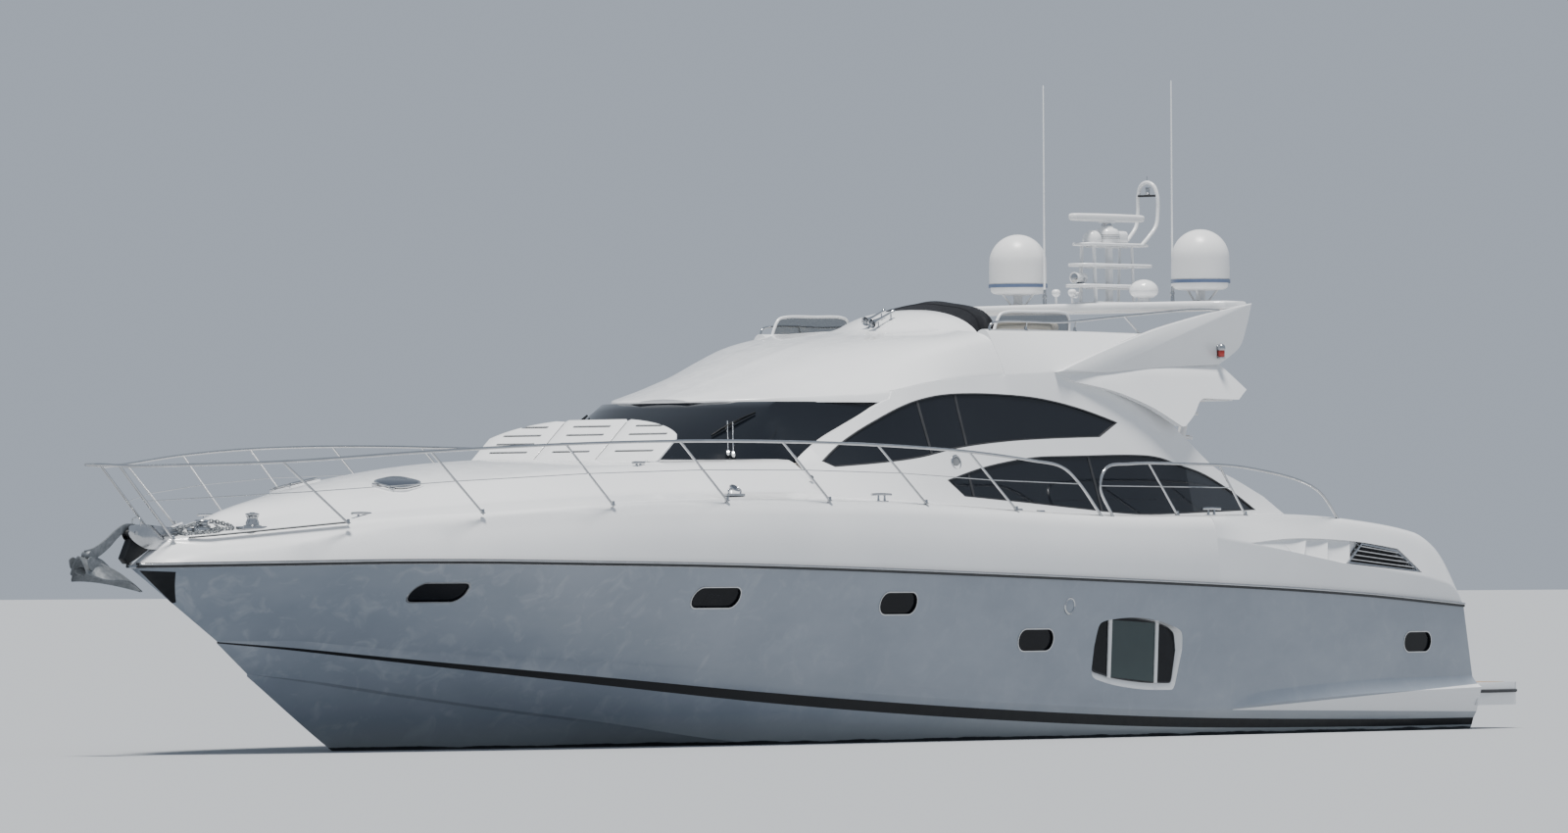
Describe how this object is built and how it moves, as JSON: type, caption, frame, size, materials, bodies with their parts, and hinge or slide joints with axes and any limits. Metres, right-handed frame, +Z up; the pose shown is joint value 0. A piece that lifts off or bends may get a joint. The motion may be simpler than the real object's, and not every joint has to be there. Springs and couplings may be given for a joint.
{
  "type": "motor yacht",
  "caption": "Planing motor yacht with a flybridge, dark side windows, bow rails, sunbathing backrests, radar arch with domes, and twin shaft drive.",
  "frame": {"origin": "at the waterline, on the centreline, about amidships", "axes": "+X forward, +Y to port, +Z up"},
  "size_m": [22.49, 5.4172, 8.68],
  "materials": {
    "hull": "gloss gelcoat",
    "gelcoat": "gloss gelcoat",
    "nonskid": "non-slip gelcoat",
    "teak": "oiled teak",
    "glass": "dark tinted",
    "steel": "polished stainless",
    "galvanised": "galvanised",
    "canvas": "woven acrylic canvas",
    "cushion": "marine vinyl",
    "bronze": "cast bronze",
    "engine": "plain paint"
  },
  "bodies": {
    "hull": {"hull": "hull", "deck_moulding": "gelcoat", "quarter_port": "gelcoat", "quarter_starboard": "gelcoat", "transom": "gelcoat", "bathing_platform": "gelcoat", "house_side_port": "gelcoat", "house_side_starboard": "gelcoat", "flybridge_cowl": "gelcoat", "flybridge_side_port": "gelcoat", "flybridge_side_starboard": "gelcoat", "aft_bulkhead": "gelcoat", "radar_arch": "gelcoat", "satellite_dome_port": "gelcoat", "satellite_dome_starboard": "gelcoat", "mast": "gelcoat", "fly_console": "gelcoat", "helm_seat": "gelcoat", "fly_stairs": "gelcoat", "flybridge_sole": "nonskid", "cockpit_sole": "teak", "upper_glass_port": "glass", "upper_glass_starboard": "glass", "lower_glass_port": "glass", "lower_glass_starboard": "glass", "windscreen": "glass", "rub_rail_port": "steel", "rub_rail_starboard": "steel", "bow_rail_port": "steel", "bow_rail_starboard": "steel", "side_rail_port": "steel", "side_rail_starboard": "steel", "fly_rail_port": "steel", "fly_rail_starboard": "steel", "windlass": "steel", "bow_roller": "steel", "shaft_port": "steel", "shaft_starboard": "steel", "anchor": "galvanised", "fly_cover": "canvas", "fly_lounge": "cushion", "cockpit_bench": "cushion", "engine_port": "engine", "engine_starboard": "engine"},
    "door": {"saloon_door": "glass"},
    "backrest_port": {"backrest_port": "gelcoat"},
    "backrest_centre": {"backrest_centre": "gelcoat"},
    "backrest_starboard": {"backrest_starboard": "gelcoat"},
    "hatch_port": {"fore_hatch_port": "glass"},
    "hatch_starboard": {"fore_hatch_starboard": "glass"},
    "propeller_port": {"propeller_port": "bronze"},
    "propeller_starboard": {"propeller_starboard": "bronze"},
    "rudder_port": {"rudder_port": "bronze"},
    "rudder_starboard": {"rudder_starboard": "bronze"},
    "scanner": {"radar_scanner": "gelcoat"}
  },
  "joints": [
    {"name": "door_slide", "type": "slide", "parent": "hull", "child": "door", "axis": [0, -1, 0], "range_m": [0, 0.95]},
    {"name": "backrest_port_hinge", "type": "hinge", "parent": "hull", "child": "backrest_port", "pos_m": [3.8, 0.865, 2.995], "axis": [0, 1, 0], "range_deg": [-34, 38]},
    {"name": "backrest_centre_hinge", "type": "hinge", "parent": "hull", "child": "backrest_centre", "pos_m": [3.8, 0, 2.995], "axis": [0, 1, 0], "range_deg": [-34, 38]},
    {"name": "backrest_starboard_hinge", "type": "hinge", "parent": "hull", "child": "backrest_starboard", "pos_m": [3.8, -0.865, 2.995], "axis": [0, 1, 0], "range_deg": [-34, 38]},
    {"name": "hatch_port_hinge", "type": "hinge", "parent": "hull", "child": "hatch_port", "pos_m": [7.5821, 0.7022, 2.7486], "axis": [-0.0282, 0.9816, -0.1887], "range_deg": [0, 75]},
    {"name": "hatch_starboard_hinge", "type": "hinge", "parent": "hull", "child": "hatch_starboard", "pos_m": [7.5821, -0.7022, 2.7486], "axis": [0.0282, 0.9816, 0.1887], "range_deg": [0, 75]},
    {"name": "propeller_port_spin", "type": "hinge", "parent": "hull", "child": "propeller_port", "pos_m": [-8.68, 1, -0.951], "axis": [0.9857, 0, 0.1685], "continuous": true},
    {"name": "propeller_starboard_spin", "type": "hinge", "parent": "hull", "child": "propeller_starboard", "pos_m": [-8.68, -1, -0.951], "axis": [0.9857, 0, 0.1685], "continuous": true},
    {"name": "rudder_port_turn", "type": "hinge", "parent": "hull", "child": "rudder_port", "pos_m": [-9.26, 1, -1], "axis": [0, 0, 1], "range_deg": [-35, 35]},
    {"name": "rudder_starboard_turn", "type": "hinge", "parent": "hull", "child": "rudder_starboard", "pos_m": [-9.26, -1, -1], "axis": [0, 0, 1], "range_deg": [-35, 35]},
    {"name": "scanner_spin", "type": "hinge", "parent": "hull", "child": "scanner", "pos_m": [-5.98, 0, 5.8], "axis": [0, 0, 1], "continuous": true}
  ],
  "couplings": [
    {"joint": "rudder_starboard_turn", "follows": "rudder_port_turn", "ratio": 1}
  ]
}
